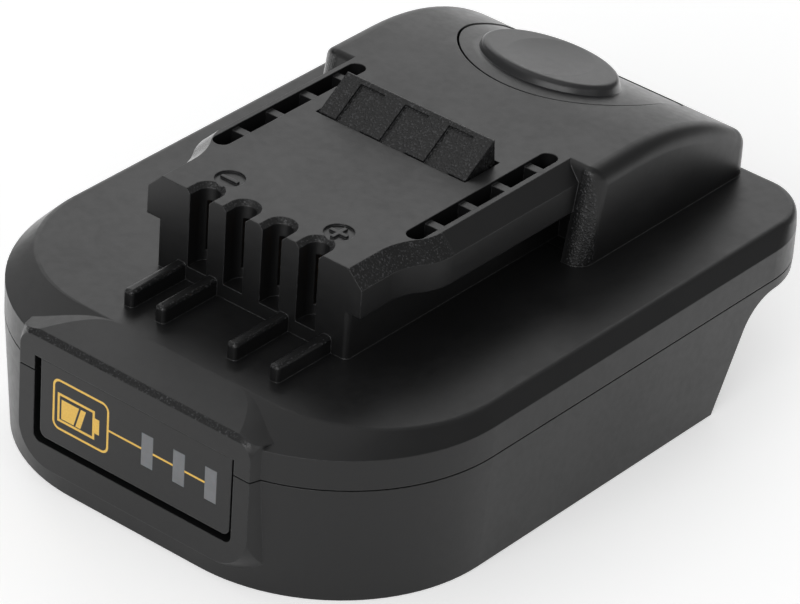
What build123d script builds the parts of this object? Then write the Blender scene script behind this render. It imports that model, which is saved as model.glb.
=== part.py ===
"""Tool battery adapter: a tool slides onto the rails on top, its battery pack slides in underneath.

Millimetres, +X to the right and +Y to the rear as seen from the gauge at the front, +Z up.
The origin is below the middle of the body, on the surface that it stands on.
"""
from math import radians, sqrt, tan
import os

from build123d import *

os.makedirs("parts", exist_ok=True)

# Body seen from above
body_width = 80.0
body_length = 106.0
front_corner_radius = 28.0
rear_corner_radius = 14.3
skirt_draft = 1.1
side_bevel = 2.0
front_bevel = 8.5
rear_bevel = 2.4
deck_front_radius = 20.5
deck_rear_radius = 7.2
deck_edge_round = 1.2

# Heights of the body, each counted from the one before
skirt_height = 18.5
band_height = 4.9
bevel_height = 2.3
tower_rise = 14.5

# Walls and running gaps
skirt_wall = 2.2
cover_wall = 2.0
roof = 2.0
ceiling = 1.6
moving_gap = 0.35
fit_gap = 0.15
seam_gap = 0.2
seam_depth = 0.4
overrun = 1.0

# Rear ends of the skirt, side view
foot_setback = 25.1
rear_slant = 21.5
slant_fillet = 7.0

# Battery channel under the ceiling
channel_half = 27.0
channel_wall = 2.2
lip_half = 21.5
lip_height = 4.0
lip_start = 23.0
catch_width = 6.0
catch_height = 6.0
catch_setback = 9.9
catch_foot = 6.5
catch_depth = 1.2

# Front boss and the well behind it
boss_half = 21.0
boss_foot = 3.4
boss_corner = 6.0
boss_top = 5.65
boss_top_corner = 2.4
boss_taper = 42.0
boss_side_taper = 18.0
lip_rise = 6.3
lip_level_half = 15.0
lip_end_slope = 14.0
lip_round = 35.0
well_half = 20.5
well_wall = 2.0
well_length = 10.0
well_floor = 6.2
well_floor_thickness = 2.2

# Gauge panel, hinged by its own flexing root
notch_half = 18.2
notch_foot = 7.3
notch_corner = 1.2
panel_left_gap = 1.25
panel_right_gap = 0.35
panel_foot_gap = 1.2
panel_root = 21.0

# Gauge windows and print, seen from the front
window_count = 3
window_width = 2.1
window_height = 5.2
window_first = 2.75
window_pitch = 5.75
window_reach = 1.4
window_flange = 0.5
window_flange_thickness = 0.8
gauge_line_height = 15.1
gauge_line = 0.32
print_depth = 0.12
sign_x = -9.5
sign_width = 10.4
sign_height = 8.2
sign_radius = 1.3
sign_stroke = 0.36
cell_x = -10.35
cell_width = 6.9
cell_height = 4.65
cell_drop = 0.4
cell_stroke = 0.4
cell_tip = 0.85
cell_tip_height = 2.45
fill_side_gap = 0.34
fill_foot_gap = 0.16
fill_height = 3.15
fill_width = 3.25
fill_slant = 0.95
bar_gap = 0.35
bar_width = 0.92

# Raised slide interface: terminal block in front, rails behind
block_front = -29.6
core_half = 17.4
block_half = 19.4
rail_half = 22.3
rail_thickness = 6.9
rail_chamfer = 2.5
flare_start = -23.4
flare_end = -13.9
tower_wall = 2.2
core_round = 0.8

# Four slots with the tool contacts behind them
slot_pitch = 6.6
slot_width = 3.5
slot_depth = 3.5
slot_foot = 2.2
slot_chamfer = 0.7
slot_count = 4
slot_back_wall = 0.9
contact_window_width = 2.4
contact_window_height = 8.0
contact_window_foot = 3.8

# Low ribs on the deck in front of the block
rib_width = 1.8
rib_length = 10.9
rib_height = 2.6
rib_round = 0.6
rib_spreads = (2.9, 3.85)

# Long pockets beside the rails, with their cross webs
ladder_x = 17.6
ladder_width = 2.8
ladder_front = -17.7
ladder_length = 31.5
ladder_depth = 5.4
web_count = 4
web_first = 5.7
web_pitch = 7.2
web_width = 1.4
web_recess = 0.5

# Round recesses on the block, each with a raised sign
sign_offset = 6.2
engraved_radius = 2.2
engraved_depth = 0.3
raised_line = 0.6
raised_bar = 3.0

# Hump at the rear
hump_half = 25.6
hump_front = 11.1
hump_lean = 3.05
hump_crest = 24.4
hump_drop = 8.8
hump_round = 2.5
hump_rear_round = 2.8
hump_front_round = 1.0
groove_half = 22.1
groove_depth = 5.5
groove_wall = 1.5

# Release button in the hump
plate_half = 16.2
plate_front_reach = 14.0
plate_straight = 9.3
plate_setback = 2.9
plate_corner = 3.0
button_wall = 1.6
button_roof = 2.0
plate_sink = 0.1
pad_setback = 3.55
pad_half = 11.2
pad_half_length = 7.2
pad_draft = 1.2
pad_rise = 1.5
pad_sink = 1.9
pad_tilt_share = 0.56
pad_round = 1.0
dish_radius = 60.0
dish_depth = 0.35
button_boss_radius = 2.5
button_boss_places = (-8.9, 1.6)

# Latch carrier and its ramp tooth
latch_travel = 4.3
carrier_height = 30.5
carrier_thickness = 2.0
arm_half = 12.5
flange_half = 20.0
flange_start = 7.9
stop_width = 2.4
stop_length = 4.0
stop_setback = 2.4
carrier_setback = 5.7
tooth_half = 13.35
tooth_front = -0.7
tooth_rise = 4.0
tooth_tip_y = 5.2
tooth_tip = 0.2
tooth_back = 5.8
tooth_side_gap = 0.3
tooth_rear_gap = 0.8
tooth_pocket_width = 4.5
tooth_pocket_pitch = 8.05
tooth_pocket_depth = 0.45
tooth_pocket_margin = 0.7

# Latch springs on their posts
spring_x = 10.0
spring_setback = 4.4
spring_wire = 0.8
spring_radius = 2.8
spring_turns = 6
spring_end_gap = 0.1
post_radius = 1.8
post_height = 11.0
post_hole_gap = 0.4

# Control board on four standoffs
board_thickness = 1.6
board_half = 27.0
board_setback = 11.5
board_length = 50.5
standoff_height = 1.8
standoff_radius = 3.0
standoff_x = 22.0
standoff_places = (7.5, 45.5)
capacitor_radius = 4.0
capacitor_height = 11.5
capacitor_place = (8.0, 6.5)
chip_size = 7.0
chip_height = 1.2
chip_place = (-8.0, 7.0)
transistor_width = 6.6
transistor_length = 9.0
transistor_height = 1.5
transistor_place = (-22.0, -4.5)
transistor_pitch = 7.4
transistor_count = 2

# Tool terminal block and contacts
holder_front_gap = 0.2
holder_depth = 11.5
holder_side_gap = 0.2
holder_foot = 1.9
holder_chamber_width = 3.8
holder_chamber_wall = 1.7
contact_leaf = 0.5
contact_mouth = 2.6
contact_pinch = 1.0
contact_foot = 4.3
contact_length = 8.0
contact_pinch_share = 0.3
contact_tail = 0.8
contact_tail_width = 2.0

# Battery terminal block and blades
terminal_half = 21.0
terminal_depth = 7.5
terminal_foot = 5.0
power_blade_x = 14.0
signal_blade_x = 5.0
power_blade = (0.9, 7.0, 13.5)
signal_blade = (0.8, 5.0, 11.0)
blade_height = 10.0
blade_tail_reach = 3.5
blade_tail_width = 2.4

# Gauge board with lamps and switch
gauge_board_depth = 5.2
gauge_board_thickness = 1.2
gauge_board_half = 20.2
gauge_board_top = 20.8
lamp_width = 3.0
lamp_height = 2.0
lamp_depth = 1.0
switch_size = 4.5
switch_depth = 2.0
plunger_radius = 1.1
plunger_gap = 0.12
plunger_seat = 0.7
plunger_side_gap = 0.1
ribbon_thickness = 0.3
ribbon_width = 9.0
ribbon_start = 14.5
ribbon_overlap = 3.5
ribbon_bend = 0.9

# Screws
screw_x = 33.2
screw_front = 33.0
screw_rear = 26.0
screw_radius = 1.4
screw_head_radius = 2.8
screw_head_height = 1.7
screw_length = 8.6
screw_seat_radius = 3.9
screw_seat_height = 3.5
screw_gap = 0.2
thread_gap = 0.05
small_screw_radius = 1.0
small_head_radius = 1.9
small_head_height = 1.0
small_screw_length = 5.0
recess_width = 0.7

# Heights and places that follow from the sizes above
side_x = body_width / 2
front_y = -body_length / 2
rear_y = body_length / 2
seam_z = skirt_height
ceiling_z = seam_z - ceiling
band_z = seam_z + band_height
deck_z = band_z + bevel_height
tower_z = deck_z + tower_rise
rail_z = tower_z - rail_thickness
deck_front = front_y + front_bevel
deck_rear = rear_y - rear_bevel
cavity_half = core_half - tower_wall
cavity_front = block_front + slot_depth + slot_back_wall
holder_front = cavity_front + holder_front_gap
holder_rear = holder_front + holder_depth
foot_rear = rear_y - foot_setback
catch_front = foot_rear - catch_setback
well_rear = front_y + well_length
channel_front = well_rear + well_wall
blade_tail_y = channel_front + blade_tail_reach
gauge_board_front = front_y + gauge_board_depth
board_front = front_y + board_setback
board_rear = board_front + board_length
plate_rear = deck_rear - plate_setback
plate_centre = plate_rear - plate_straight
rail_rear = hump_front + hump_lean + hump_front_round
groove_end = hump_front + groove_depth
lining_end = groove_end + groove_wall
flange_front = lining_end + flange_start
spring_y = plate_centre - spring_setback
hump_run = deck_rear - hump_crest
carrier_top = carrier_height + carrier_thickness
tooth_z = tower_z + tooth_rise
board_z = seam_z + standoff_height
board_top = board_z + board_thickness
slot_xs = [slot_pitch * (i - (slot_count - 1) / 2) for i in range(slot_count)]
window_xs = [window_first + window_pitch * i for i in range(window_count)]
panel_left = -notch_half + panel_left_gap
panel_right = notch_half - panel_right_gap
panel_foot = notch_foot + panel_foot_gap
screw_ys = (front_y + screw_front, rear_y - screw_rear)
screw_points = [(side * screw_x, y) for side in (-1, 1) for y in screw_ys]
standoff_points = [(side * standoff_x, board_front + step) for side in (-1, 1) for step in standoff_places]
button_boss_points = [(0, plate_centre + step) for step in button_boss_places]
post_points = [(side * spring_x, spring_y) for side in (-1, 1)]
front_plane = Plane.XZ.offset(-front_y)
inward_plane = Plane(origin=(0, front_y, 0), x_dir=(-1, 0, 0), z_dir=(0, 1, 0))
upright = (Align.CENTER, Align.CENTER, Align.MIN)
hanging = (Align.CENTER, Align.CENTER, Align.MAX)


def save(part, name):
    """Labels a finished piece and writes it"""
    part.part.label = name
    export_step(part.part, f"parts/{name}.step")


def span_rectangle(left, right, low, high):
    """Rectangle between two places along each axis of the sketch"""
    with Locations(((left + right) / 2, (low + high) / 2)):
        Rectangle(right - left, high - low)


def rounded_plan(half, front, rear, front_radius, rear_radius):
    """Plan with two front and two rear corners of their own radii"""
    span_rectangle(-half, half, front, rear)
    fillet(vertices().group_by(Axis.Y)[0], radius=front_radius)
    fillet(vertices().group_by(Axis.Y)[-1], radius=rear_radius)


def body_plan(inset):
    """The body's outline at the seam, drawn in all round"""
    rounded_plan(side_x - inset, front_y + inset, rear_y - inset,
                 front_corner_radius - inset, rear_corner_radius - inset)


def deck_plan(inset):
    """The flat deck's outline, drawn in all round"""
    rounded_plan(side_x - side_bevel - inset, deck_front + inset, deck_rear - inset,
                 deck_front_radius - inset, deck_rear_radius - inset)


def rail_plan():
    """Plan of the slide interface: narrow block, an S on each side, then the wider rails"""
    with BuildLine() as outline:
        block_side = Line((block_half, block_front), (block_half, flare_start))
        middle = ((block_half + rail_half) / 2, (flare_start + flare_end) / 2)
        flare_out = TangentArc(block_side @ 1, middle, tangent=(0, 1))
        flare_back = TangentArc(flare_out @ 1, (rail_half, flare_end), tangent=flare_out % 1)
        rail_side = Line(flare_back @ 1, (rail_half, rail_rear))
        Line(rail_side @ 1, (0, rail_rear))
        Line((0, block_front), block_side @ 0)
        mirror(about=Plane.YZ)
    make_face(outline.edges())


def hump_profile(inset, foot):
    """Side view of the hump: leaning front, level crest, then one long arc falling to the rear"""
    with BuildLine() as outline:
        front = Line((hump_front + inset, foot), (hump_front + hump_lean + inset, tower_z - inset))
        level = Line(front @ 1, (hump_crest, tower_z - inset))
        fall = TangentArc(level @ 1, (deck_rear - inset, tower_z - hump_drop - inset), tangent=(1, 0))
        Polyline(fall @ 1, (deck_rear - inset, foot), front @ 0)
    make_face(outline.edges())
    fillet(vertices().sort_by_distance(front @ 1)[0], radius=hump_front_round)


def hump_radius(inset=0):
    """Radius of the long arc on the hump's top, or of its inner side drawn in by inset"""
    run = hump_run - inset
    return (run**2 + hump_drop**2) / (2 * hump_drop)


def hump_surface(y, inset=0):
    """Height of the hump's top, or of its inner side, at a place along its length"""
    radius = hump_radius(inset)
    return tower_z - inset - radius + sqrt(radius**2 - (y - hump_crest)**2)


def button_plan(gap):
    """Plan of the button plate: half an ellipse in front, straight sides, rounded rear corners"""
    half = plate_half + gap
    with BuildLine() as outline:
        nose = EllipticalCenterArc((0, plate_centre), half, plate_front_reach + gap,
                                   start_angle=180, arc_size=180)
        Polyline(nose @ 1, (half, plate_rear + gap), (-half, plate_rear + gap), nose @ 0)
    make_face(outline.edges())
    fillet(vertices().group_by(Axis.Y)[-1], radius=plate_corner + gap)


def print_shapes():
    """Gauge print: rounded frame, battery sign inside it and the line that joins the windows"""
    with Locations((sign_x, gauge_line_height)):
        RectangleRounded(sign_width, sign_height, sign_radius)
        RectangleRounded(sign_width - 2 * sign_stroke, sign_height - 2 * sign_stroke,
                         sign_radius - sign_stroke, mode=Mode.SUBTRACT)
    cell_z = gauge_line_height - cell_drop
    with Locations((cell_x, cell_z)):
        Rectangle(cell_width, cell_height)
        Rectangle(cell_width - 2 * cell_stroke, cell_height - 2 * cell_stroke, mode=Mode.SUBTRACT)
    with Locations((cell_x + (cell_width + cell_tip) / 2, cell_z)):
        Rectangle(cell_tip, cell_tip_height)
    fill_left = cell_x - cell_width / 2 + cell_stroke + fill_side_gap
    fill_low = cell_z - cell_height / 2 + cell_stroke + fill_foot_gap
    fill_right = fill_left + fill_width
    bar_left = fill_right + bar_gap
    fill = [(fill_left, fill_low), (fill_right - fill_slant, fill_low)]
    fill += [(fill_right, fill_low + fill_height), (fill_left, fill_low + fill_height)]
    bar = [(bar_left - fill_slant, fill_low), (bar_left + bar_width - fill_slant, fill_low)]
    bar += [(bar_left + bar_width, fill_low + fill_height), (bar_left, fill_low + fill_height)]
    for corners in (fill, bar):
        with BuildLine() as outline:
            Polyline(*corners, close=True)
        make_face(outline.edges())
    stops = [sign_x + sign_width / 2]
    for x in window_xs:
        stops += [x - window_width / 2, x + window_width / 2]
    for start, end in zip(stops[:-1:2], stops[1::2]):
        span_rectangle(start, end, gauge_line_height - gauge_line / 2, gauge_line_height + gauge_line / 2)


def screw(points, seat, turn, radius, length, head_radius, head_height):
    """Screws with a cross recess: the head's seat is at height seat, the shank points along turn"""
    head_align = hanging if turn > 0 else upright
    shank_align = upright if turn > 0 else hanging
    head_top = seat - turn * head_height
    for x, y in points:
        with Locations((x, y, seat)):
            Cylinder(head_radius, head_height, align=head_align)
            Cylinder(radius, length, align=shank_align)
        with Locations((x, y, head_top)):
            Box(head_radius, recess_width, head_height, mode=Mode.SUBTRACT)
            Box(recess_width, head_radius, head_height, mode=Mode.SUBTRACT)


# Front boss: the flat face that carries the gauge, later shared between shell and cover
with BuildPart() as front_boss:
    with BuildSketch(inward_plane):
        span_rectangle(-boss_half, boss_half, boss_foot, seam_z + boss_top)
        fillet(vertices().group_by(Axis.Y)[0], radius=boss_corner)
        fillet(vertices().group_by(Axis.Y)[-1], radius=boss_top_corner)
    extrude(amount=front_bevel, taper=-boss_taper)
    with BuildSketch(inward_plane):
        span_rectangle(-boss_half, boss_half, -body_length, body_length)
    extrude(amount=front_bevel, taper=-boss_side_taper, mode=Mode.INTERSECT)
    with BuildSketch(Plane.YZ):
        with BuildLine():
            Polyline((front_y, 0), (front_y, seam_z + lip_rise), (deck_front, deck_z),
                     (deck_front, 0), close=True)
        make_face()
    extrude(amount=body_width, both=True, mode=Mode.INTERSECT)
    with BuildSketch(front_plane):
        lip_end_drop = (side_x - lip_level_half) * tan(radians(lip_end_slope))
        with BuildLine():
            Polyline((-side_x, 0), (-side_x, deck_z - lip_end_drop), (-lip_level_half, deck_z),
                     (lip_level_half, deck_z), (side_x, deck_z - lip_end_drop), (side_x, 0), close=True)
        make_face()
        fillet(vertices().group_by(Axis.Y)[-1], radius=lip_round)
    extrude(amount=-front_bevel, mode=Mode.INTERSECT)

# Skirt's outer form, drawn in towards the foot
with BuildPart() as skirt_form:
    with BuildSketch():
        body_plan(skirt_draft)
    with BuildSketch(Plane.XY.offset(seam_z)):
        body_plan(0)
    loft(ruled=True)

# Walls hanging from the ceiling: channel sides with their lips, cross wall and gauge well
with BuildPart() as inner_walls:
    with BuildSketch():
        for side in (-1, 1):
            with Locations((side * (channel_half + channel_wall / 2), 0)):
                Rectangle(channel_wall, body_length)
        span_rectangle(-channel_half, channel_half, well_rear, well_rear + well_wall)
    extrude(amount=ceiling_z)
    with BuildSketch():
        for side in (-1, 1):
            with Locations((side * (lip_half + channel_half) / 2, lip_start / 2)):
                Rectangle(channel_half - lip_half, body_length - lip_start)
    extrude(amount=lip_height)
    with BuildSketch(Plane.XY.offset(well_floor - well_floor_thickness)):
        span_rectangle(-well_half - well_wall, well_half + well_wall, front_y, well_rear)
    extrude(amount=ceiling_z - well_floor + well_floor_thickness)
    with Locations(*[(x, y, ceiling_z) for x, y in screw_points]):
        Cylinder(screw_seat_radius, screw_seat_height, align=hanging)
    add(skirt_form.part, mode=Mode.INTERSECT)

# Lower shell
with BuildPart() as lower_shell:
    add(skirt_form.part)
    add(front_boss.part)
    split(bisect_by=Plane.XY.offset(seam_z), keep=Keep.BOTTOM)
    with BuildSketch():
        body_plan(skirt_draft + skirt_wall)
    with BuildSketch(Plane.XY.offset(ceiling_z)):
        body_plan(skirt_wall)
    loft(ruled=True, mode=Mode.SUBTRACT)
    add(inner_walls.part)
    with BuildSketch(Plane.YZ):
        slant_run = ceiling_z * tan(radians(rear_slant))
        with BuildLine():
            Polyline((foot_rear, -overrun), (foot_rear, 0), (foot_rear + slant_run, ceiling_z),
                     (rear_y + overrun, ceiling_z), (rear_y + overrun, -overrun), close=True)
        make_face()
        fillet(vertices().group_by(Axis.Y)[-1].sort_by(Axis.X)[0], radius=slant_fillet)
    extrude(amount=body_width, both=True, mode=Mode.SUBTRACT)
    with BuildSketch(Plane.XY.offset(well_floor)):
        span_rectangle(-well_half, well_half, front_y + skirt_wall, well_rear)
    extrude(amount=seam_z, mode=Mode.SUBTRACT)
    with BuildSketch(front_plane):
        span_rectangle(-notch_half, notch_half, notch_foot, seam_z + overrun)
        fillet(vertices().group_by(Axis.Y)[0], radius=notch_corner)
    extrude(amount=-(front_bevel / 2), mode=Mode.SUBTRACT)
    with BuildSketch(Plane.XY.offset(ceiling_z)):
        tail_half = power_blade_x + blade_tail_width
        span_rectangle(-tail_half, tail_half, blade_tail_y - blade_tail_width,
                       blade_tail_y + blade_tail_width)
    extrude(amount=ceiling, mode=Mode.SUBTRACT)
    for side in (-1, 1):
        with BuildSketch(Plane.YZ.offset(side * channel_half)):
            span_rectangle(catch_front, catch_front + catch_width, catch_foot, catch_foot + catch_height)
        extrude(amount=side * catch_depth, mode=Mode.SUBTRACT)
    with Locations(*[(x, y, ceiling_z - screw_seat_height) for x, y in screw_points]):
        Cylinder(screw_head_radius + screw_gap, screw_head_height + screw_gap, align=upright,
                 mode=Mode.SUBTRACT)
        Cylinder(screw_radius + screw_gap, screw_seat_height + ceiling, align=upright, mode=Mode.SUBTRACT)
    with Locations(*[(x, y, seam_z) for x, y in post_points]):
        Cylinder(post_radius, post_height, align=upright)
    with Locations(*[(x, y, seam_z) for x, y in standoff_points]):
        Cylinder(standoff_radius, standoff_height, align=upright)
    with Locations(*[(x, y, board_z) for x, y in standoff_points]):
        Cylinder(small_screw_radius + thread_gap, standoff_height + ceiling / 2, align=hanging,
                 mode=Mode.SUBTRACT)
save(lower_shell, "lower_shell")

# Head of the slide interface, with its long top edges chamfered
with BuildPart() as rail_head:
    with BuildSketch(Plane.XY.offset(rail_z)):
        rail_plan()
    extrude(amount=rail_thickness)
    long_edges = edges().group_by(Axis.Z)[-1].filter_by(Axis.X, reverse=True)
    chamfer(long_edges, length=rail_chamfer)

# Low ribs on the deck in front of the slots, with rounded tops
with BuildPart() as deck_ribs:
    with BuildSketch(Plane.XY.offset(deck_z - roof)):
        for x, spread in zip((slot_xs[0], slot_xs[-1]), rib_spreads):
            with Locations(*[(x + side * spread, block_front + (slot_depth - rib_length) / 2)
                             for side in (-1, 1)]):
                Rectangle(rib_width, rib_length + slot_depth)
    extrude(amount=roof + rib_height)
    fillet(edges().filter_by(Axis.Z).group_by(Axis.Y)[0], radius=rib_round)
    fillet(edges().group_by(Axis.Z)[-1], radius=rib_round)

# Hump with rounded corners
with BuildPart() as hump:
    with BuildSketch(Plane.YZ):
        hump_profile(0, deck_z - roof / 2)
    extrude(amount=hump_half, both=True)
    fillet(edges().filter_by(Axis.Z).group_by(Axis.Y)[-1], radius=hump_rear_round)
    top_edges = edges().filter_by(lambda edge: edge.center().Z > tower_z - hump_drop - overrun)
    front_edges = top_edges.filter_by(Axis.X).group_by(Axis.Y)[:-1]
    fillet(top_edges - [edge for group in front_edges for edge in group], radius=hump_round)

# Top cover
with BuildPart() as top_cover:
    with BuildSketch(Plane.XY.offset(seam_z + seam_gap)):
        body_plan(0)
    extrude(amount=band_height - seam_gap)
    with BuildSketch(Plane.XY.offset(band_z)):
        body_plan(0)
    with BuildSketch(Plane.XY.offset(deck_z)):
        deck_plan(0)
    loft(ruled=True)
    fillet(edges().group_by(Axis.Z)[-1], radius=deck_edge_round)
    add(front_boss.part)
    split(bisect_by=Plane.XY.offset(seam_z + seam_gap), keep=Keep.TOP)
    with BuildSketch(Plane.XY.offset(seam_z)):
        body_plan(seam_depth)
    extrude(amount=seam_gap)
    with BuildSketch(Plane.XY.offset(deck_z - roof)):
        span_rectangle(-core_half, core_half, block_front, hump_front + hump_lean)
        fillet(vertices().group_by(Axis.Y)[0], radius=core_round)
    extrude(amount=rail_z - deck_z + roof)
    add(rail_head.part)
    add(hump.part)
    add(deck_ribs.part)
    # hollow under deck, slide interface and hump
    with BuildSketch(Plane.XY.offset(seam_z)):
        body_plan(cover_wall)
    extrude(amount=band_height - roof, mode=Mode.SUBTRACT)
    with BuildSketch(Plane.XY.offset(band_z - roof)):
        body_plan(cover_wall)
    with BuildSketch(Plane.XY.offset(deck_z - roof)):
        deck_plan(cover_wall)
    loft(ruled=True, mode=Mode.SUBTRACT)
    with BuildSketch(Plane.XY.offset(band_z - roof)):
        span_rectangle(-cavity_half, cavity_half, cavity_front, hump_crest)
    extrude(amount=tower_z - band_z, mode=Mode.SUBTRACT)
    with BuildSketch(Plane.YZ):
        hump_profile(tower_wall, band_z - roof)
    extrude(amount=hump_half - tower_wall, both=True, mode=Mode.SUBTRACT)
    # grooves below the rails run on into the hump
    lining_half = groove_half + groove_wall
    lining_start = hump_front + hump_lean
    with BuildSketch(Plane.XY.offset(deck_z - roof)):
        for side in (-1, 1):
            with Locations((side * (cavity_half + lining_half) / 2, (lining_start + lining_end) / 2)):
                Rectangle(lining_half - cavity_half, lining_end - lining_start)
    extrude(amount=rail_z + groove_wall - deck_z + roof)
    with BuildSketch(Plane.XY.offset(deck_z)):
        for side in (-1, 1):
            with Locations((side * (core_half + groove_half) / 2, groove_end / 2)):
                Rectangle(groove_half - core_half, groove_end)
    extrude(amount=rail_z - deck_z, mode=Mode.SUBTRACT)
    # four slots with rounded backs, chamfered mouths and windows to the contacts
    with BuildSketch(Plane.XY.offset(deck_z + slot_foot)):
        for x in slot_xs:
            with Locations((x, block_front + (slot_depth - slot_width / 2) / 2)):
                Rectangle(slot_width, slot_depth - slot_width / 2)
            with Locations((x, block_front + slot_depth - slot_width / 2)):
                Circle(slot_width / 2)
    extrude(amount=tower_rise, mode=Mode.SUBTRACT)
    mouths = edges().filter_by_position(Axis.Z, tower_z - fit_gap, tower_z + fit_gap)
    mouths = mouths.filter_by_position(Axis.Y, block_front + fit_gap, block_front + slot_depth)
    mouths = mouths.filter_by(lambda edge: abs(edge.center().X) < core_half - slot_chamfer - rail_chamfer)
    chamfer(mouths, length=slot_chamfer)
    with BuildSketch(Plane.XZ.offset(-cavity_front)):
        for x in slot_xs:
            with Locations((x, deck_z + contact_window_foot + contact_window_height / 2)):
                Rectangle(contact_window_width, contact_window_height)
    extrude(amount=slot_back_wall + slot_width / 2, both=True, mode=Mode.SUBTRACT)
    # long pockets beside the rails, with low cross webs
    ladder_mid = ladder_front + ladder_length / 2
    with BuildSketch(Plane.XY.offset(tower_z)):
        for side in (-1, 1):
            with Locations((side * ladder_x, ladder_mid)):
                SlotOverall(ladder_length, ladder_width, rotation=90)
    extrude(amount=-ladder_depth, mode=Mode.SUBTRACT)
    with BuildSketch(Plane.XY.offset(tower_z - web_recess)):
        for side in (-1, 1):
            for i in range(web_count):
                with Locations((side * ladder_x, ladder_front + web_first + web_pitch * i)):
                    Rectangle(ladder_width, web_width)
    extrude(amount=web_recess - ladder_depth)
    # slot for the ramp tooth
    with BuildSketch(Plane.XY.offset(tower_z)):
        span_rectangle(-tooth_half - tooth_side_gap, tooth_half + tooth_side_gap,
                       tooth_front - moving_gap, tooth_back + tooth_rear_gap)
    extrude(amount=-(roof + overrun), mode=Mode.SUBTRACT)
    # opening for the button, as deep as it travels
    with BuildSketch(Plane.XY.offset(carrier_top - latch_travel)):
        button_plan(moving_gap)
    extrude(amount=tower_z, mode=Mode.SUBTRACT)
    # round recesses behind the outer slots, a minus and a plus left standing
    with BuildSketch(Plane.XY.offset(tower_z)):
        for x in (slot_xs[0], slot_xs[-1]):
            with Locations((x, block_front + sign_offset)):
                Circle(engraved_radius)
                Rectangle(raised_bar, raised_line, mode=Mode.SUBTRACT)
        with Locations((slot_xs[-1], block_front + sign_offset)):
            Rectangle(raised_line, raised_bar, mode=Mode.SUBTRACT)
    extrude(amount=-engraved_depth, mode=Mode.SUBTRACT)
    # notch for the gauge panel
    with BuildSketch(front_plane):
        span_rectangle(-notch_half, notch_half, seam_z - overrun, panel_root)
    extrude(amount=-(cover_wall + overrun), mode=Mode.SUBTRACT)
    # screw bosses
    with Locations(*[(x, y, seam_z) for x, y in screw_points]):
        Cylinder(screw_seat_radius - screw_gap, deck_z - roof / 2 - seam_z, align=upright)
        Cylinder(screw_radius + thread_gap, deck_z - roof - seam_z - screw_gap, align=upright,
                 mode=Mode.SUBTRACT)
save(top_cover, "top_cover")

# Gauge panel with its three window holes and the shallow bed of the print
with BuildPart() as gauge_panel:
    with BuildSketch(front_plane):
        span_rectangle(panel_left, panel_right, panel_foot, panel_root)
        fillet(vertices().group_by(Axis.Y)[0], radius=notch_corner)
        with Locations(*[(x, gauge_line_height) for x in window_xs]):
            Rectangle(window_width, window_height, mode=Mode.SUBTRACT)
    extrude(amount=-cover_wall)
    with BuildSketch(front_plane):
        print_shapes()
    extrude(amount=-print_depth, mode=Mode.SUBTRACT)
save(gauge_panel, "gauge_panel")

# Gauge print in its bed
with BuildPart() as gauge_print:
    with BuildSketch(front_plane):
        print_shapes()
    extrude(amount=-print_depth)
save(gauge_print, "gauge_print")

# Gauge windows: light guides with a flange behind the panel
for number, x in enumerate(window_xs, 1):
    with BuildPart() as gauge_window:
        with BuildSketch(front_plane):
            with Locations((x, gauge_line_height)):
                Rectangle(window_width, window_height)
        extrude(amount=-(cover_wall + window_reach))
        with BuildSketch(front_plane.offset(-cover_wall)):
            with Locations((x, gauge_line_height)):
                Rectangle(window_width + 2 * window_flange, window_height + 2 * window_flange)
        extrude(amount=-window_flange_thickness)
    save(gauge_window, f"gauge_window_{number}")

# Gauge board standing in the well
gauge_board_plane = Plane.XZ.offset(-gauge_board_front)
with BuildPart() as gauge_board:
    with BuildSketch(gauge_board_plane):
        span_rectangle(-gauge_board_half, gauge_board_half, well_floor, gauge_board_top)
    extrude(amount=-gauge_board_thickness)
save(gauge_board, "gauge_board")

# Lamps behind the windows
for number, x in enumerate(window_xs, 1):
    with BuildPart() as gauge_lamp:
        with BuildSketch(gauge_board_plane):
            with Locations((x, gauge_line_height)):
                Rectangle(lamp_width, lamp_height)
        extrude(amount=lamp_depth)
    save(gauge_lamp, f"gauge_lamp_{number}")

# Press switch behind the printed sign, and the plunger that the panel pushes
with BuildPart() as gauge_switch:
    with BuildSketch(gauge_board_plane):
        with Locations((sign_x, gauge_line_height)):
            Rectangle(switch_size, switch_size)
    extrude(amount=switch_depth)
    with BuildSketch(gauge_board_plane.offset(switch_depth)):
        with Locations((sign_x, gauge_line_height)):
            Circle(plunger_radius + plunger_side_gap)
    extrude(amount=-(switch_depth - plunger_side_gap), mode=Mode.SUBTRACT)
save(gauge_switch, "gauge_switch")

plunger_front = front_y + cover_wall + plunger_gap
with BuildPart() as gauge_plunger:
    with BuildSketch(Plane.XZ.offset(-plunger_front)):
        with Locations((sign_x, gauge_line_height)):
            Circle(plunger_radius)
    extrude(amount=-(gauge_board_front - switch_depth + plunger_seat - plunger_front))
save(gauge_plunger, "gauge_plunger")

# Control board
with BuildPart() as control_board:
    with BuildSketch(Plane.XY.offset(board_z)):
        span_rectangle(-board_half, board_half, board_front, board_rear)
        with Locations(*standoff_points):
            Circle(small_screw_radius + fit_gap, mode=Mode.SUBTRACT)
    extrude(amount=board_thickness)
save(control_board, "control_board")

with BuildPart() as board_capacitor:
    with Locations((capacitor_place[0], holder_rear + capacitor_place[1], board_top)):
        Cylinder(capacitor_radius, capacitor_height, align=upright)
    fillet(edges().group_by(Axis.Z)[-1], radius=ribbon_thickness)
save(board_capacitor, "board_capacitor")

with BuildPart() as board_chip:
    with Locations((chip_place[0], holder_rear + chip_place[1], board_top)):
        Box(chip_size, chip_size, chip_height, align=upright)
save(board_chip, "board_chip")

with BuildPart() as board_transistors:
    transistor_y = holder_rear + transistor_place[1]
    for i in range(transistor_count):
        with Locations((transistor_place[0] + transistor_pitch * i, transistor_y, board_top)):
            Box(transistor_width, transistor_length, transistor_height, align=upright)
save(board_transistors, "board_transistors")

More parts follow.
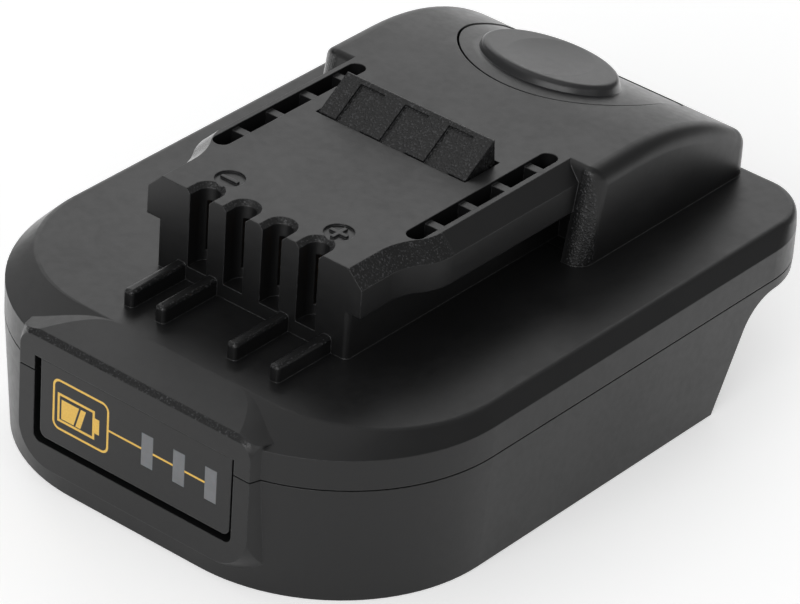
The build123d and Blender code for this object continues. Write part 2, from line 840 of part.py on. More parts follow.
# Tool terminal block: four chambers behind the four slots
holder_z = deck_z + holder_foot
holder_top = tower_z - roof - holder_side_gap
chamber_low = holder_z + holder_chamber_wall
chamber_high = holder_top - holder_chamber_wall
with BuildPart() as tool_terminal_block:
    holder_half = cavity_half - holder_side_gap
    with BuildSketch(Plane.XY.offset(holder_z)):
        span_rectangle(-holder_half, holder_half, holder_front, holder_rear)
    extrude(amount=holder_top - holder_z)
    with BuildSketch(Plane.XZ.offset(-holder_front)):
        for x in slot_xs:
            span_rectangle(x - holder_chamber_width / 2, x + holder_chamber_width / 2,
                           chamber_low, chamber_high)
    extrude(amount=-(holder_depth - holder_chamber_wall), mode=Mode.SUBTRACT)
    with BuildSketch(Plane.XZ.offset(-holder_front)):
        for x in slot_xs:
            span_rectangle(x - contact_tail_width / 2, x + contact_tail_width / 2,
                           chamber_low, chamber_low + contact_tail_width)
    extrude(amount=-holder_depth, mode=Mode.SUBTRACT)
save(tool_terminal_block, "tool_terminal_block")

# Tool contacts: two sprung leaves pinched near their mouths, and a tail down to the board
contact_z = deck_z + contact_foot
contact_start = holder_front + fit_gap
contact_end = contact_start + contact_length
tail_y = holder_rear + contact_tail / 2
for number, x in enumerate(slot_xs, 1):
    with BuildPart() as tool_contact:
        with BuildSketch(Plane.XY.offset(contact_z)):
            for side in (-1, 1):
                pinch_y = contact_start + contact_pinch_share * contact_length
                outer = [(contact_mouth / 2, contact_start), (contact_pinch / 2, pinch_y),
                         (contact_mouth / 2, contact_end)]
                inner = [(reach + contact_leaf, y) for reach, y in reversed(outer)]
                with BuildLine():
                    Polyline(*[(x + side * reach, y) for reach, y in outer + inner], close=True)
                make_face()
            reach = contact_mouth / 2 + contact_leaf
            span_rectangle(x - reach, x + reach, contact_end, contact_end + contact_leaf)
        extrude(amount=chamber_high - contact_z - fit_gap)
        with BuildSketch(Plane.YZ.offset(x)):
            tail_top = chamber_low + contact_tail
            span_rectangle(contact_end, tail_y + contact_tail / 2, chamber_low, tail_top)
            span_rectangle(tail_y - contact_tail / 2, tail_y + contact_tail / 2, board_top, tail_top)
            span_rectangle(contact_end, contact_end + contact_leaf, chamber_low, contact_z)
        extrude(amount=contact_tail_width / 2, both=True)
    save(tool_contact, f"tool_contact_{number}")

# Battery terminal block at the closed front end of the channel
terminal_rear = channel_front + terminal_depth
blade_places = [(-power_blade_x, power_blade), (-signal_blade_x, signal_blade),
                (signal_blade_x, signal_blade), (power_blade_x, power_blade)]


def blade_outline(blade):
    """Side view of a blade: the part that enters the pack and the tail that rises to the board"""
    thickness, height, reach = blade
    tail_low = blade_tail_y - blade_tail_width / 2
    span_rectangle(tail_low, terminal_rear + reach, blade_height - height / 2, blade_height + height / 2)
    span_rectangle(tail_low, tail_low + blade_tail_width, blade_height, board_z)


with BuildPart() as battery_terminal_block:
    with BuildSketch(Plane.XY.offset(terminal_foot)):
        span_rectangle(-terminal_half, terminal_half, channel_front, terminal_rear)
    extrude(amount=ceiling_z - terminal_foot)
    for x, blade in blade_places:
        with BuildSketch(Plane.YZ.offset(x)):
            blade_outline(blade)
        extrude(amount=blade[0] / 2, both=True, mode=Mode.SUBTRACT)
save(battery_terminal_block, "battery_terminal_block")

blade_names = ("power_blade_left", "signal_blade_left", "signal_blade_right", "power_blade_right")
for name, (x, blade) in zip(blade_names, blade_places):
    with BuildPart() as battery_blade:
        with BuildSketch(Plane.YZ.offset(x)):
            blade_outline(blade)
        extrude(amount=blade[0] / 2, both=True)
        tip_edges = edges().filter_by(Axis.Z).group_by(Axis.Y)[-1]
        chamfer(tip_edges, length=blade[0] / 3)
    save(battery_blade, name)

# Ribbon cable from the back of the gauge board over to the control board
with BuildPart() as gauge_ribbon:
    ribbon_y = gauge_board_front + gauge_board_thickness + ribbon_thickness / 2
    ribbon_z = board_top + ribbon_thickness / 2
    with BuildLine(Plane.YZ) as ribbon_path:
        FilletPolyline((ribbon_y, ribbon_start), (ribbon_y, ribbon_z),
                       (board_front + ribbon_overlap, ribbon_z), radius=ribbon_bend)
    with BuildSketch(Plane(origin=ribbon_path.line @ 0, x_dir=(1, 0, 0), z_dir=(0, 0, 1))):
        Rectangle(ribbon_width, ribbon_thickness)
    sweep(path=ribbon_path.line)
save(gauge_ribbon, "gauge_ribbon")

# Release button: a shell with the hump's own top surface and a raised, dished pad
with BuildPart() as button_hollow:
    with BuildSketch(Plane.XY.offset(deck_z)):
        button_plan(-button_wall)
    extrude(amount=tower_rise)
    with BuildSketch(Plane.YZ):
        roof_front = (hump_crest, tower_z - button_roof)
        roof_rear = (plate_rear, hump_surface(plate_rear) - button_roof)
        with BuildLine():
            Polyline((hump_crest, deck_z), roof_front, roof_rear, (plate_rear, deck_z), close=True)
        make_face()
    extrude(amount=plate_half, both=True, mode=Mode.INTERSECT)
    with Locations(*[(x, y, deck_z) for x, y in button_boss_points]):
        Cylinder(button_boss_radius, tower_rise, align=upright, mode=Mode.SUBTRACT)

pad_y = plate_centre - pad_setback
surface_z = hump_surface(pad_y, plate_sink)
pad_tilt = pad_tilt_share * (pad_y - hump_crest) / hump_radius(plate_sink)
pad_normal = (0, pad_tilt, sqrt(1 - pad_tilt**2))
pad_plane = Plane(origin=(0, pad_y, surface_z), x_dir=(1, 0, 0), z_dir=pad_normal)
with BuildPart() as button_pad:
    with BuildSketch(pad_plane.offset(-pad_sink)):
        Ellipse(pad_half + pad_draft, pad_half_length + pad_draft)
    with BuildSketch(pad_plane.offset(pad_rise)):
        Ellipse(pad_half, pad_half_length)
    loft()
    fillet(edges().sort_by(Axis.Z)[-1], radius=pad_round)
    with Locations(pad_plane.offset(pad_rise + dish_radius - dish_depth).location):
        Sphere(dish_radius, mode=Mode.SUBTRACT)

with BuildPart() as release_button:
    with BuildSketch(Plane.YZ):
        hump_profile(plate_sink, deck_z)
    extrude(amount=plate_half, both=True)
    with BuildSketch(Plane.XY.offset(carrier_top)):
        button_plan(0)
    extrude(amount=tower_rise, mode=Mode.INTERSECT)
    add(button_pad.part)
    add(button_hollow.part, mode=Mode.SUBTRACT)
    with Locations(*[(x, y, carrier_top) for x, y in button_boss_points]):
        Cylinder(small_screw_radius + thread_gap, small_screw_length - carrier_thickness, align=upright,
                 mode=Mode.SUBTRACT)
save(release_button, "release_button")

# Latch carrier: plate under the button, arm to the front and the ramp tooth
ramp_run = tooth_tip_y - tooth_front
ramp_length = sqrt(ramp_run**2 + tooth_rise**2)
ramp_plane = Plane(origin=(0, tooth_front + ramp_run / 2, tower_z + tooth_rise / 2), x_dir=(1, 0, 0),
                   z_dir=(0, -tooth_rise / ramp_length, ramp_run / ramp_length))
with BuildPart() as latch_carrier:
    with BuildSketch(Plane.XY.offset(carrier_height)):
        span_rectangle(-arm_half, arm_half, tooth_front, flange_front)
        span_rectangle(-flange_half, flange_half, flange_front, plate_rear - carrier_setback)
        with Locations(*post_points):
            Circle(post_radius + post_hole_gap, mode=Mode.SUBTRACT)
        with Locations(*button_boss_points):
            Circle(small_screw_radius + fit_gap, mode=Mode.SUBTRACT)
    extrude(amount=carrier_thickness)
    stop_rear = plate_centre - stop_setback + stop_length
    with BuildSketch(Plane.XY.offset(carrier_top)):
        for side in (-1, 1):
            with Locations((side * (flange_half - stop_width / 2), stop_rear - stop_length / 2)):
                Rectangle(stop_width, stop_length)
    extrude(amount=hump_surface(stop_rear, tower_wall) - moving_gap - carrier_top)
    with BuildSketch(Plane.YZ):
        with BuildLine():
            Polyline((tooth_front, carrier_height), (tooth_front, tower_z), (tooth_tip_y, tooth_z),
                     (tooth_tip_y + tooth_tip, tooth_z), (tooth_back, tower_z),
                     (tooth_back, carrier_height), close=True)
        make_face()
    extrude(amount=tooth_half, both=True)
    with BuildSketch(ramp_plane):
        for i in (-1, 0, 1):
            x = i * tooth_pocket_pitch
            span_rectangle(x - tooth_pocket_width / 2, x + tooth_pocket_width / 2,
                           -ramp_length / 2 - tooth_pocket_margin, ramp_length / 2 - tooth_pocket_margin)
    extrude(amount=-tooth_pocket_depth, mode=Mode.SUBTRACT)
save(latch_carrier, "latch_carrier")

# Screws that hold the button on its carrier, from below
with BuildPart() as button_screws:
    screw(button_boss_points, carrier_height, 1, small_screw_radius,
          small_screw_length, small_head_radius, small_head_height)
save(button_screws, "button_screws")

# Latch springs between shell and carrier
spring_span = carrier_height - seam_z
for name, (x, y) in zip(("latch_spring_left", "latch_spring_right"), post_points):
    with BuildPart() as latch_spring:
        coil_height = spring_span - spring_wire - 2 * spring_end_gap
        coil_foot = seam_z + spring_wire / 2 + spring_end_gap
        with BuildLine() as coil:
            Helix(coil_height / spring_turns, coil_height, spring_radius, center=(x, y, coil_foot))
        with BuildSketch(Plane(origin=coil.line @ 0, z_dir=coil.line % 0)):
            Circle(spring_wire / 2)
        sweep(path=coil.line, is_frenet=True)
    save(latch_spring, name)

# Screws that join shell and cover, heads below, and the screws of the control board
with BuildPart() as cover_screws:
    seat_z = ceiling_z - screw_seat_height + screw_head_height + screw_gap
    screw(screw_points, seat_z, 1, screw_radius, screw_length - screw_head_height, screw_head_radius,
          screw_head_height)
save(cover_screws, "cover_screws")

with BuildPart() as board_screws:
    screw(standoff_points, board_top, -1, small_screw_radius, board_thickness + standoff_height,
          small_head_radius, small_head_height)
save(board_screws, "board_screws")
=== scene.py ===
"""Looks of the tool battery adapter: a material for every node, a pale studio and the camera"""
from math import cos, pi, radians, sin

import bpy
from mathutils import Matrix, Vector


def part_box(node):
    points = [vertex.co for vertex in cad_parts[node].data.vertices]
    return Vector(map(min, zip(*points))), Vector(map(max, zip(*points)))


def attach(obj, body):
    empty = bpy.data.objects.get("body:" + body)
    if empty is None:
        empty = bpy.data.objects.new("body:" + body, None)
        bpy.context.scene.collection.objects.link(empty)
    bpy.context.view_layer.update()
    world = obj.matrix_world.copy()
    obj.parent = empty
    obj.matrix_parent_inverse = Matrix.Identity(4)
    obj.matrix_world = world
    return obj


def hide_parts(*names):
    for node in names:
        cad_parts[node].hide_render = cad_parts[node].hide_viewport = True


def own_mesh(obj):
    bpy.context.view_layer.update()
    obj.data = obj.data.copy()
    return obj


# Camera, fitted to the photograph's straight edges
camera_place = Vector((0.3841, -0.4876, 0.4044))
camera_azimuth = radians(38.02)
camera_elevation = radians(32.15)
camera_roll = radians(3.85)
camera_reach = (0.01, 50.0)
photo_width = 800
focal_pixels = 5153.8
sensor_width = 36.0

# Colours as linear values
white = (1.0, 1.0, 1.0)
paper = (0.90, 0.90, 0.90)
housing_black = (0.0070, 0.0071, 0.0074)
button_black = (0.0080, 0.0081, 0.0085)
package_black = (0.0063, 0.00639, 0.00666)
holder_black = (0.0112, 0.01136, 0.01184)
sleeve_blue = (0.01, 0.012, 0.03)
gold = (1.0, 0.61, 0.12)
window_grey = (0.20, 0.205, 0.215)
resin_white = (0.82, 0.83, 0.78)
film_white = (0.75, 0.75, 0.72)
board_green = (0.012, 0.085, 0.035)
copper = (0.75, 0.36, 0.15)
tin = (0.66, 0.65, 0.62)
brass = (0.78, 0.56, 0.26)
steel = (0.52, 0.52, 0.53)
screw_grey = (0.416, 0.416, 0.424)

# Rounding of sharp edges by the material, in metres
edge_round = 0.00022
small_round = edge_round / 2
sheet_round = edge_round / 3
edge_samples = 6

# The part of a noise's range that most of its values lie in
noise_middle = (0.3, 0.7)

# Moulded plastic: sizes and depths in metres, and factors of colour and roughness
grain_size = 0.00016
grain_depth = 0.000006
grain_roughness = 0.65
cloud_size = 0.011
cloud_tint = (0.9, 1.12)
cloud_rough = (0.94, 1.06)
fleck_size = 0.0012
fleck_rough = (0.93, 1.07)

# Painted highlights on the plastic's edges: the turn of the normal there, as a cosine, the
# flecks' size in metres, how much of an edge gets a painted highlight, and how many times
# lighter it is
edge_turn = (0.75, 0.98)
edge_fleck = 0.0006
edge_highlight_share = (0.35, 0.6)
edge_highlight_lift = 8.0

# Coarser grain of the plastic, in metres, and painted glints where its noise is highest: the part
# of the noise that they take up, and factors of colour and roughness
coarse_grain_size = 0.0003
coarse_grain_depth = 0.0001
coarse_glint_range = (0.56, 0.68)
coarse_glint_lift = 8.0
coarse_rough = 0.75

# Where the housing is coarser and glints are painted on it: on slanted faces of the block with the
# rails and of the lip over the gauge, and on all but flat faces of the nose, which is the hump's
# front corners. The first two say from which upward share a face counts as flat, and up to which
# as upright; the rest are in metres
coarse_slant = (0.955, 0.985)
coarse_upright = (0.15, 0.3)
rails_rear = -0.0135
rails_foot = 0.0258
lip_rear = -0.0521
lip_foot = 0.0239
lip_half = 0.0215
lip_fade = 0.0005
nose_rear = 0.0143
nose_side = 0.0226
place_ramp = 0.0002

# The button's pad, smoother than the plate around it and lighter by a painted sheen: its place and
# size in metres, where its edge lies as a share of its size, and factors of roughness and colour
pad_centre = 0.03485
pad_half = 0.0124
pad_half_length = 0.0084
pad_edge = (0.97, 1.03)
pad_rough = 0.85
pad_sheen_lift = 2.8

# Rolled metal: scratches per metre along their run, and how many times closer they lie across it
scratches_per_metre = 2500.0
scratch_stretch = 30.0

# Latch springs: half the wire's thickness in metres, the number of turns, and steps along and sides
# around the wire
spring_wire = 0.0004
spring_turns = 6
spring_steps = 216
wire_sides = 12

# Brightness of the surroundings and the floor, where 1 is white. In reflections the floor's glow
# rises from dim to bright along glow_heading, over glow_reach in metres
surroundings = 0.26
floor_glow = 0.45
floor_glow_dim = 0.31
floor_glow_bright = 1.1
glow_heading = (-0.8, 0.6, 0.0)
glow_reach = (-0.03, 0.05)

# The floor, in metres, and its paper
floor_half = 6.0
floor_gap = 0.0001
floor_cloud = 0.4
floor_tint = (0.99, 1.0)
floor_roughness = 0.9

# Soft lamps: place, width and height in metres, and radiance, where 1 is as bright as white paper
lamp_aim = Vector((0.0, 0.0, 0.02))
lamps = {
    "rear_light": ((-0.87, 1.1, 0.72), 1.9, 1.05, 1.25),
    "top_light": ((-0.5, -0.2, 1.4), 1.3, 1.3, 0.5),
    "front_light": ((0.3, -1.3, 0.75), 1.2, 0.8, 3.0),
    "side_light": ((1.25, -0.45, 0.7), 0.9, 0.7, 0.55),
}


def shade(colour, factor):
    """A colour made lighter or darker"""
    return tuple(min(1.0, channel * factor) for channel in colour)


class Nodes:
    """A material's node tree, with short calls for adding and linking nodes"""

    def __init__(self, name):
        self.material = bpy.data.materials.new(name)
        self.material.use_nodes = True
        self.tree = self.material.node_tree
        self.shader = self.tree.nodes["Principled BSDF"]

    def feed(self, socket, value):
        """Links another node's output to an input socket, or sets its own number or colour"""
        if isinstance(value, bpy.types.NodeSocket):
            self.tree.links.new(value, socket)
        elif socket.type == "RGBA":
            socket.default_value = (*value, 1.0)
        else:
            socket.default_value = value

    def add(self, kind, **settings):
        """Adds a node, and sets its properties or, by input name, feeds its inputs"""
        node = self.tree.nodes.new(kind)
        for key, value in settings.items():
            if hasattr(node, key):
                setattr(node, key, value)
            else:
                self.feed(node.inputs[key.replace("_", " ")], value)
        return node

    def math(self, operation, *values):
        """Result of a Math node"""
        node = self.add("ShaderNodeMath", operation=operation)
        for socket, value in zip(node.inputs, values):
            self.feed(socket, value)
        return node.outputs["Value"]

    def vector_math(self, operation, *values, result="Vector"):
        """Result of a Vector Math node"""
        node = self.add("ShaderNodeVectorMath", operation=operation)
        for socket, value in zip(node.inputs, values):
            self.feed(socket, value)
        return node.outputs[result]

    def times(self, first, *others):
        """Product of values"""
        product = first
        for value in others:
            product = self.math("MULTIPLY", product, value)
        return product

    def axes(self, vector):
        """X, Y and Z of a vector"""
        return self.add("ShaderNodeSeparateXYZ", Vector=vector).outputs

    def spread(self, value, low, high, start=0.0, end=1.0):
        """Maps a value from start..end to low..high"""
        node = self.add("ShaderNodeMapRange", Value=value, From_Min=start, From_Max=end,
                        To_Min=low, To_Max=high)
        return node.outputs["Result"]

    def above(self, value, edge):
        """1 above the edge, 0 below it, with a narrow ramp between"""
        return self.spread(value, 0.0, 1.0, edge - place_ramp, edge + place_ramp)

    def below(self, value, edge):
        """1 below the edge, 0 above it, with a narrow ramp between"""
        return self.spread(value, 1.0, 0.0, edge - place_ramp, edge + place_ramp)

    def blend(self, factor, first, second):
        """Mixes two colours, each given as a socket or as linear values"""
        node = self.add("ShaderNodeMix", data_type="RGBA", Factor=factor)
        for key, colour in (("A", first), ("B", second)):
            self.feed([s for s in node.inputs if s.name == key and s.type == "RGBA"][0], colour)
        return [s for s in node.outputs if s.type == "RGBA"][0]

    def mottle(self, factor, colour, tints):
        """Mixes two tints of a colour, each given as a factor of it"""
        first, second = (shade(colour, tint) for tint in tints)
        return self.blend(factor, first, second)

    def place(self):
        """Coordinates fixed to the object, in metres"""
        return self.add("ShaderNodeTexCoord").outputs["Object"]

    def noise(self, size, detail=2.0, roughness=0.5):
        """Noise whose features are about size metres across"""
        enlarged = self.vector_math("MULTIPLY", self.place(), (1 / size,) * 3)
        node = self.add("ShaderNodeTexNoise", Vector=enlarged, Scale=1.0, Detail=detail,
                        Roughness=roughness)
        return node.outputs["Fac"]

    def rounded(self, radius):
        """Normals that round every sharp edge by radius metres"""
        return self.add("ShaderNodeBevel", samples=edge_samples, Radius=radius).outputs["Normal"]

    def bump(self, height, depth, normal=None):
        """Bumps of the given depth in metres, on top of another normal where one is given"""
        node = self.add("ShaderNodeBump", Height=height, Distance=depth)
        if normal is not None:
            self.feed(node.inputs["Normal"], normal)
        return node.outputs["Normal"]

    def grained(self, size, depth, radius):
        """Normals of a small moulded piece: grain in metres, and edges rounded by radius"""
        return self.bump(self.noise(size), depth, self.rounded(radius))

    def edges(self, rounding):
        """1 on the rounded edges, 0 on the faces between them"""
        face = self.add("ShaderNodeNewGeometry").outputs["Normal"]
        match = self.vector_math("DOT_PRODUCT", rounding, face, result="Value")
        return self.spread(match, 1.0, 0.0, *edge_turn)

    def coarse_and_glint_places(self):
        """1 where the housing's grain is coarser and has painted glints: on parts of the block, the
        lip and the nose
        """
        x, y, z = self.axes(self.place())
        side = self.math("ABSOLUTE", x)
        up = self.axes(self.add("ShaderNodeNewGeometry").outputs["True Normal"])["Z"]
        uneven = self.spread(up, 1.0, 0.0, *coarse_slant)
        slanted = self.times(uneven, self.spread(up, 0.0, 1.0, *coarse_upright))
        block = self.times(self.below(y, rails_rear), self.above(z, rails_foot))
        lip = self.times(self.below(y, lip_rear), self.above(z, lip_foot),
                         self.spread(side, 1.0, 0.0, lip_half, lip_half + lip_fade))
        nose = self.times(self.below(y, nose_rear), self.above(z, rails_foot),
                          self.above(side, nose_side))
        front = self.times(self.math("MAXIMUM", block, lip), slanted)
        return self.math("MAXIMUM", front, self.times(nose, uneven))

    def pad_place(self):
        """1 on the raised pad of the button, 0 on the plate around it"""
        reach = self.vector_math("MULTIPLY_ADD", self.place(),
                                 (1 / pad_half, 1 / pad_half_length, 0.0),
                                 (0.0, -pad_centre / pad_half_length, 0.0))
        return self.spread(self.vector_math("LENGTH", reach, result="Value"), 1.0, 0.0, *pad_edge)

    def finish(self, colour, roughness, normal):
        """Feeds the shader and returns the material"""
        for key, value in (("Base Color", colour), ("Roughness", roughness), ("Normal", normal)):
            self.feed(self.shader.inputs[key], value)
        return self.material


def moulded_plastic(name, colour, roughness, coarse="nowhere", pad=False):
    """Plastic with fine grain, cloudy gloss and painted highlights on its edges, with coarser grain
    and painted glints where asked, and a painted sheen on a pad if asked
    """
    n = Nodes(name)
    cloud = n.noise(cloud_size, detail=3.0)
    rounding = n.rounded(edge_round)
    grain = n.noise(grain_size, detail=3.0, roughness=grain_roughness)
    normal = n.bump(grain, grain_depth, rounding)
    tint = n.mottle(n.spread(cloud, 0.0, 1.0, *noise_middle), colour, cloud_tint)
    # Painted highlight: flecks along the rounded edges, many times lighter than the plastic
    highlight_flecks = n.spread(n.noise(edge_fleck), 0.0, 1.0, *edge_highlight_share)
    tint = n.blend(n.times(n.edges(rounding), highlight_flecks), tint, shade(colour, edge_highlight_lift))
    smoother, rougher = (roughness * factor for factor in fleck_rough)
    rough = n.times(n.spread(cloud, *cloud_rough, *noise_middle),
                    n.spread(n.noise(fleck_size), smoother, rougher, *noise_middle))
    if coarse != "nowhere":
        relief = n.noise(coarse_grain_size)
        places = 1.0 if coarse == "everywhere" else n.coarse_and_glint_places()
        normal = n.bump(n.times(relief, places), coarse_grain_depth, normal)
        # Painted glints: where the coarse grain's noise is highest, the colour is many times lighter
        painted_glints = n.times(n.spread(relief, 0.0, 1.0, *coarse_glint_range), places)
        tint = n.blend(painted_glints, tint, shade(colour, coarse_glint_lift))
        rough = n.times(rough, n.spread(places, 1.0, coarse_rough))
    if pad:
        # Painted sheen: the button's pad is made lighter than the plate around it
        raised = n.pad_place()
        tint = n.blend(raised, tint, shade(colour, pad_sheen_lift))
        rough = n.times(rough, n.spread(raised, 1.0, pad_rough))
    return n.finish(tint, rough, normal)


def printed_ink(name, colour):
    """Screen-printed ink: even colour with fine pinholes"""
    speck_size, speck_depth, speck_range, tints = 0.00025, 0.000008, (0.35, 0.65), (0.9, 1.05)
    n = Nodes(name)
    speck = n.noise(speck_size)
    tint = n.mottle(n.spread(speck, 0.0, 1.0, *speck_range), colour, tints)
    return n.finish(tint, roughness=0.42, normal=n.bump(speck, speck_depth))


def cloudy_window(name, colour):
    """Light guide: cloudy plastic with a smooth face"""
    cloud_width, tints, rough = 0.0015, (0.85, 1.15), (0.3, 0.42)
    n = Nodes(name)
    cloud = n.noise(cloud_width, detail=3.0)
    n.shader.inputs["Subsurface Weight"].default_value = 0.2
    n.shader.inputs["Subsurface Scale"].default_value = 0.001
    return n.finish(n.mottle(cloud, colour, tints), n.spread(cloud, *rough),
                    n.grained(size=0.0003, depth=0.000006, radius=small_round))


def circuit_board(name, colour):
    """Solder mask over faint tracks, with tinned pads"""
    tints, track_depth = (1.0, 1.7), 0.00003
    pad_pitch, pad_rim, pad_metal = 0.0034, (0.14, 0.17), 0.9
    haze_size, rough = 0.002, (0.22, 0.38)
    n = Nodes(name)
    tracks = n.add("ShaderNodeTexBrick", Vector=n.place(), Scale=1.0, Mortar_Size=0.00022,
                   Mortar_Smooth=0.2, Brick_Width=0.0062, Row_Height=0.0023).outputs["Fac"]
    pads = n.add("ShaderNodeTexVoronoi", Vector=n.place(), Scale=1 / pad_pitch, Randomness=0.35)
    on_pad = n.spread(pads.outputs["Distance"], 1.0, 0.0, *pad_rim)
    n.feed(n.shader.inputs["Metallic"], n.spread(on_pad, 0.0, pad_metal))
    return n.finish(n.blend(on_pad, n.mottle(tracks, colour, tints), tin),
                    n.spread(n.noise(haze_size), *rough),
                    n.bump(tracks, track_depth, n.rounded(small_round)))


def rolled_metal(name, colour, roughness, across=2):
    """Rolled or drawn metal: fine scratches across an axis, 0 to 2 for X to Z, and slight tarnish"""
    tarnish_size, tarnish_range, tarnish_rough = 0.0025, (0.4, 0.7), 1.6
    tints, scratch_depth = (1.0, 0.72), 0.000006
    n = Nodes(name)
    scale = [scratches_per_metre] * 3
    scale[across] *= scratch_stretch
    mapping = n.add("ShaderNodeMapping", Vector=n.place(), Scale=scale)
    scratches = n.add("ShaderNodeTexNoise", Vector=mapping.outputs["Vector"], Scale=1.0, Detail=2.0)
    tarnish = n.noise(tarnish_size, detail=3.0)
    n.shader.inputs["Metallic"].default_value = 1.0
    return n.finish(n.mottle(n.spread(tarnish, 0.0, 1.0, *tarnish_range), colour, tints),
                    n.spread(tarnish, roughness, roughness * tarnish_rough, *noise_middle),
                    n.bump(scratches.outputs["Fac"], scratch_depth, n.rounded(sheet_round)))


def sleeve(name, colour):
    """Shrunk plastic sleeve of a capacitor"""
    haze_size, rough = 0.003, (0.2, 0.34)
    n = Nodes(name)
    return n.finish(colour, n.spread(n.noise(haze_size), *rough),
                    n.grained(size=0.0008, depth=0.00002, radius=small_round))


def clear_resin(name, colour):
    """Cast resin of a lamp or a plunger"""
    haze_size, tints = 0.0012, (0.9, 1.0)
    n = Nodes(name)
    n.shader.inputs["Transmission Weight"].default_value = 0.3
    return n.finish(n.mottle(n.noise(haze_size), colour, tints), roughness=0.25,
                    normal=n.grained(size=0.0006, depth=0.00001, radius=small_round))


def flat_cable(name, film, conductor):
    """Flat cable: clear film over a row of conductors"""
    row_edge, row_height = (0.35, 0.65), 0.00006
    n = Nodes(name)
    rows = n.add("ShaderNodeTexWave", wave_type="BANDS", bands_direction="X", Vector=n.place(),
                 Scale=160.0, Distortion=0.0).outputs["Fac"]
    tint = n.blend(n.spread(rows, 0.0, 1.0, *row_edge), film, conductor)
    return n.finish(tint, roughness=0.28, normal=n.bump(rows, row_height))


def dress(material, *names):
    """Gives a material to CAD nodes"""
    for name in names:
        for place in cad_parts[name].material_slots:
            place.material = material


def add_spring(name, node, material):
    """Coil spring in the place of a CAD node"""
    low, high = (Vector(corner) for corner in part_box(node))
    middle = (low + high) / 2
    radius = (high.x - low.x) / 2 - spring_wire
    climb = high.z - low.z - 2 * spring_wire
    points = []
    for i in range(spring_steps + 1):
        turn = 2 * pi * spring_turns * i / spring_steps
        outward = Vector((cos(turn), sin(turn), 0.0))
        height = low.z + spring_wire + climb * i / spring_steps
        centre = Vector((middle.x, middle.y, height))
        for j in range(wire_sides):
            angle = 2 * pi * j / wire_sides
            offset = outward * (radius + spring_wire * cos(angle))
            points.append(centre + offset + Vector((0.0, 0.0, spring_wire * sin(angle))))
    faces = []
    for i in range(spring_steps):
        for j in range(wire_sides):
            first, second = i * wire_sides + j, i * wire_sides + (j + 1) % wire_sides
            faces.append((first, first + wire_sides, second + wire_sides, second))
    last = spring_steps * wire_sides
    faces.append(tuple(range(wire_sides)))
    faces.append(tuple(last + j for j in reversed(range(wire_sides))))
    mesh = bpy.data.meshes.new(name)
    mesh.from_pydata(points, [], faces)
    mesh.polygons.foreach_set("use_smooth", [True] * len(faces))
    mesh.materials.append(material)
    spring = bpy.data.objects.new(name, mesh)
    bpy.context.collection.objects.link(spring)
    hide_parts(node)
    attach(spring, "housing")
    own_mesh(spring)


def add_camera():
    """Camera at the photograph's place, with the photograph's frame"""
    back = Vector((sin(camera_azimuth) * cos(camera_elevation),
                   -cos(camera_azimuth) * cos(camera_elevation), sin(camera_elevation)))
    level = Vector((cos(camera_azimuth), sin(camera_azimuth), 0.0))
    upward = back.cross(level)
    right = cos(camera_roll) * level + sin(camera_roll) * upward
    top = cos(camera_roll) * upward - sin(camera_roll) * level
    turn = Matrix((right, top, back)).transposed().to_4x4()
    data = bpy.data.cameras.new("photo_camera")
    data.sensor_width = sensor_width
    data.lens = focal_pixels / photo_width * sensor_width
    data.clip_start, data.clip_end = camera_reach
    camera = bpy.data.objects.new("photo_camera", data)
    camera.matrix_world = Matrix.Translation(camera_place) @ turn
    bpy.context.collection.objects.link(camera)
    bpy.context.scene.camera = camera


def add_floor():
    """Plain pale floor that keeps the object's shadow and is clear when seen from below"""
    corners = ((-1, -1), (1, -1), (1, 1), (-1, 1))
    mesh = bpy.data.meshes.new("floor")
    mesh.from_pydata([(x * floor_half, y * floor_half, -floor_gap) for x, y in corners],
                     [], [(0, 1, 2, 3)])
    floor = bpy.data.objects.new("floor", mesh)
    bpy.context.collection.objects.link(floor)
    n = Nodes("floor_paper")
    n.feed(n.shader.inputs["Base Color"], n.mottle(n.noise(floor_cloud), paper, floor_tint))
    n.feed(n.shader.inputs["Roughness"], floor_roughness)
    n.feed(n.shader.inputs["Emission Color"], white)
    path = n.add("ShaderNodeLightPath")
    seen = n.spread(path.outputs["Is Camera Ray"], 0.0, floor_glow)
    heading = n.vector_math("DOT_PRODUCT", n.place(), glow_heading, result="Value")
    ramp = n.spread(heading, floor_glow_dim, floor_glow_bright, *glow_reach)
    glow = n.math("MULTIPLY_ADD", path.outputs["Is Glossy Ray"], ramp, seen)
    n.feed(n.shader.inputs["Emission Strength"], glow)
    sides = n.add("ShaderNodeMixShader")
    n.feed(sides.inputs[0], n.add("ShaderNodeNewGeometry").outputs["Backfacing"])
    n.feed(sides.inputs[1], n.shader.outputs["BSDF"])
    n.feed(sides.inputs[2], n.add("ShaderNodeBsdfTransparent").outputs["BSDF"])
    n.feed(n.tree.nodes["Material Output"].inputs["Surface"], sides.outputs["Shader"])
    mesh.materials.append(n.material)


def add_soft_light(name, place, width, height, radiance):
    """Large soft lamp at place, facing the object"""
    data = bpy.data.lights.new(name, "AREA")
    data.shape = "RECTANGLE"
    data.size = width
    data.size_y = height
    data.energy = radiance * pi * width * height
    lamp = bpy.data.objects.new(name, data)
    turn = (lamp_aim - Vector(place)).to_track_quat("-Z", "Y").to_matrix().to_4x4()
    lamp.matrix_world = Matrix.Translation(place) @ turn
    bpy.context.collection.objects.link(lamp)


def add_world():
    """Even pale surroundings, white where the camera sees them"""
    world = bpy.data.worlds.new("studio")
    bpy.context.scene.world = world
    world.use_nodes = True
    tree = world.node_tree
    background = tree.nodes["Background"]
    background.inputs["Color"].default_value = (*white, 1.0)
    path = tree.nodes.new("ShaderNodeLightPath")
    strength = tree.nodes.new("ShaderNodeMapRange")
    strength.inputs["To Min"].default_value = surroundings
    strength.inputs["To Max"].default_value = 1.0
    tree.links.new(path.outputs["Is Camera Ray"], strength.inputs["Value"])
    tree.links.new(strength.outputs["Result"], background.inputs["Strength"])


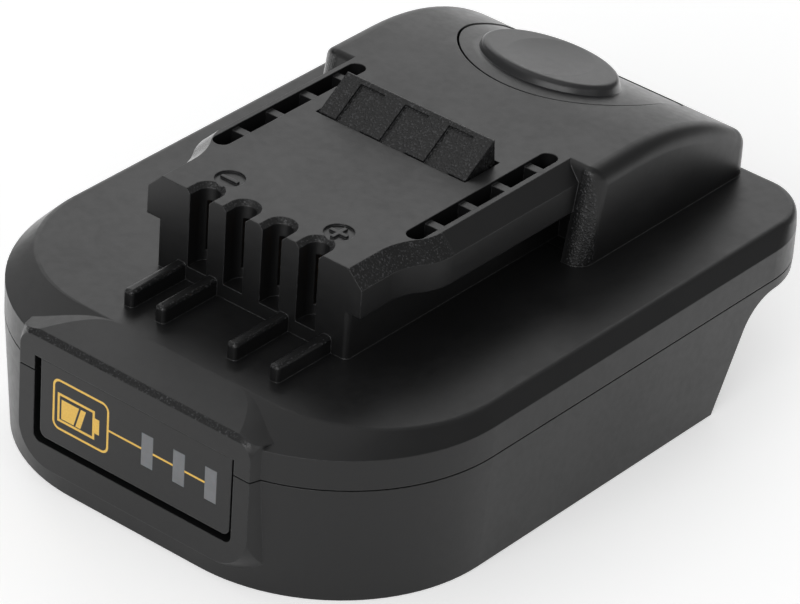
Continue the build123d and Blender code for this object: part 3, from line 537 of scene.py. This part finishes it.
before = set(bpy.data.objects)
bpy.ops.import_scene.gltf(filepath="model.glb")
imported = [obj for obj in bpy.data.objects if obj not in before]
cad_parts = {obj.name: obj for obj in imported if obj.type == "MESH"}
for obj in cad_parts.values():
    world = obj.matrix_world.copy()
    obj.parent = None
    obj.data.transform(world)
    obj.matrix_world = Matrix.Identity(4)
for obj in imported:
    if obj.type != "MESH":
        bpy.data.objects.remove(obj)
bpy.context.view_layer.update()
bpy.context.scene.view_settings.view_transform = "Standard"

dress(moulded_plastic("housing_plastic", housing_black, roughness=0.40, coarse="in places"),
      "lower_shell", "top_cover", "gauge_panel")
dress(moulded_plastic("button_plastic", button_black, roughness=0.38, pad=True), "release_button")
dress(moulded_plastic("latch_plastic", housing_black, roughness=0.38, coarse="everywhere"),
      "latch_carrier")
dress(printed_ink("gauge_gold", gold), "gauge_print")
dress(cloudy_window("window_plastic", window_grey),
      "gauge_window_1", "gauge_window_2", "gauge_window_3")
dress(circuit_board("board_laminate", board_green), "gauge_board", "control_board")
dress(moulded_plastic("package_plastic", package_black, roughness=0.5),
      "board_chip", "board_transistors")
dress(moulded_plastic("holder_plastic", holder_black, roughness=0.45),
      "tool_terminal_block", "battery_terminal_block", "gauge_switch")
dress(sleeve("capacitor_sleeve", sleeve_blue), "board_capacitor")
dress(clear_resin("lamp_resin", resin_white),
      "gauge_lamp_1", "gauge_lamp_2", "gauge_lamp_3", "gauge_plunger")
dress(rolled_metal("contact_brass", brass, roughness=0.25),
      "tool_contact_1", "tool_contact_2", "tool_contact_3", "tool_contact_4")
dress(rolled_metal("blade_metal", tin, roughness=0.28, across=1),
      "power_blade_left", "power_blade_right", "signal_blade_left", "signal_blade_right")
spring_steel = rolled_metal("spring_steel", steel, roughness=0.3)
dress(spring_steel, "latch_spring_left", "latch_spring_right")
dress(rolled_metal("screw_steel", screw_grey, roughness=0.32),
      "cover_screws", "board_screws", "button_screws")
dress(flat_cable("ribbon_film", film_white, copper), "gauge_ribbon")

add_spring("coil_left", "latch_spring_left", spring_steel)
add_spring("coil_right", "latch_spring_right", spring_steel)
add_camera()
add_floor()
add_world()
for lamp_name, lamp_values in lamps.items():
    add_soft_light(lamp_name, *lamp_values)
